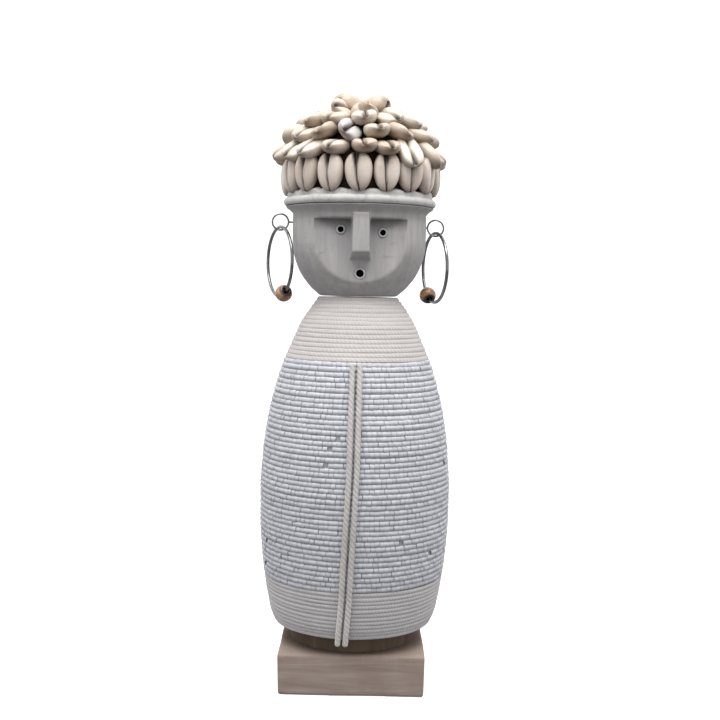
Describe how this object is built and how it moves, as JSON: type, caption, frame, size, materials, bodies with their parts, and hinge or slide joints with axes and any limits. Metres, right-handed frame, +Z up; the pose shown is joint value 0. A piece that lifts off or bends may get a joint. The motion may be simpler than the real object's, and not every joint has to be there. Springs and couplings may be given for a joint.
{
  "type": "fertility doll",
  "caption": "Carved wooden doll on a square block: body wound in beads and cord, flat carved face, cowrie-shell cap and hanging hoop earrings with sliding beads.",
  "frame": {"origin": "centre of the block's underside", "axes": "+Z up; the face looks along -Y; +X is the viewer's right"},
  "size_m": [0.1118, 0.1155, 0.341],
  "materials": {
    "base_wood": "weathered, matt",
    "core_wood": "unfinished",
    "whitewashed_wood": "whitewashed, matt",
    "yoke_cord": "smooth wound cord",
    "glass_beads": "opaque glossy beads",
    "hem_rows": "smooth wound cord",
    "front_cord": "twisted cord",
    "ring_beads": "glossy",
    "white_rim": "white, satin",
    "dark_cap": "dark, matt",
    "steel_wire": "polished",
    "brown_bead": "polished",
    "pale_cowrie": "natural shell gloss",
    "cream_cowrie": "natural shell gloss"
  },
  "bodies": {
    "doll": {"base_block": "base_wood", "body_core": "core_wood", "hem_winding": "hem_rows", "bead_winding": "glass_beads", "yoke_winding": "yoke_cord", "cord_left": "front_cord", "cord_right": "front_cord", "head": "whitewashed_wood", "eye_bead_left": "ring_beads", "eye_bead_right": "ring_beads", "mouth_bead": "ring_beads", "rim_band": "white_rim", "cap_form": "dark_cap", "eye_pin_left": "steel_wire", "eye_pin_right": "steel_wire", "shells_top": "cream_cowrie", "shells_tier_5": "cream_cowrie", "shells_tier_4": "cream_cowrie", "shells_tier_3": "cream_cowrie", "shell_lying_1": "cream_cowrie", "shell_lying_2": "cream_cowrie", "shell_lying_3": "cream_cowrie", "shell_lying_4": "cream_cowrie", "shell_lying_5": "cream_cowrie", "shell_lying_6": "cream_cowrie", "shell_lying_7": "cream_cowrie", "shell_lying_8": "cream_cowrie", "shell_lying_9": "cream_cowrie", "shell_lying_10": "cream_cowrie", "shell_lying_11": "cream_cowrie", "shell_lying_12": "cream_cowrie", "shell_lying_13": "cream_cowrie", "shell_lying_14": "cream_cowrie", "shell_lying_15": "cream_cowrie", "shell_lying_16": "cream_cowrie", "shell_lying_17": "cream_cowrie", "shell_lying_18": "cream_cowrie", "shell_upright_1": "pale_cowrie", "shell_upright_2": "pale_cowrie", "shell_upright_3": "pale_cowrie", "shell_upright_4": "pale_cowrie", "shell_upright_5": "pale_cowrie", "shell_upright_6": "pale_cowrie", "shell_upright_7": "pale_cowrie", "shell_upright_8": "pale_cowrie", "shell_upright_9": "pale_cowrie", "shell_upright_10": "pale_cowrie", "shell_upright_11": "pale_cowrie", "shell_upright_12": "pale_cowrie", "shell_upright_13": "pale_cowrie", "shell_upright_14": "pale_cowrie", "shell_upright_15": "pale_cowrie", "shell_upright_16": "pale_cowrie", "shell_upright_17": "pale_cowrie"},
    "left_hoop": {"hoop_left": "steel_wire"},
    "left_bead": {"hoop_bead_left": "brown_bead"},
    "right_hoop": {"hoop_right": "steel_wire"},
    "right_bead": {"hoop_bead_right": "brown_bead"}
  },
  "joints": [
    {"name": "hoop_left_swing", "type": "hinge", "parent": "doll", "child": "left_hoop", "pos_m": [-0.0468, 0, 0.26025], "axis": [1, 0, 0], "range_deg": [-45, 45]},
    {"name": "bead_left_slide", "type": "hinge", "parent": "left_hoop", "child": "left_bead", "pos_m": [-0.0468, 0, 0.2416], "axis": [0.9205, 0.3907, 0], "range_deg": [-57, 172]},
    {"name": "hoop_right_swing", "type": "hinge", "parent": "doll", "child": "right_hoop", "pos_m": [0.0452, 0, 0.25825], "axis": [1, 0, 0], "range_deg": [-45, 45]},
    {"name": "bead_right_slide", "type": "hinge", "parent": "right_hoop", "child": "right_bead", "pos_m": [0.0452, 0, 0.2396], "axis": [0.9659, 0.2588, 0], "range_deg": [-180, 45]}
  ]
}
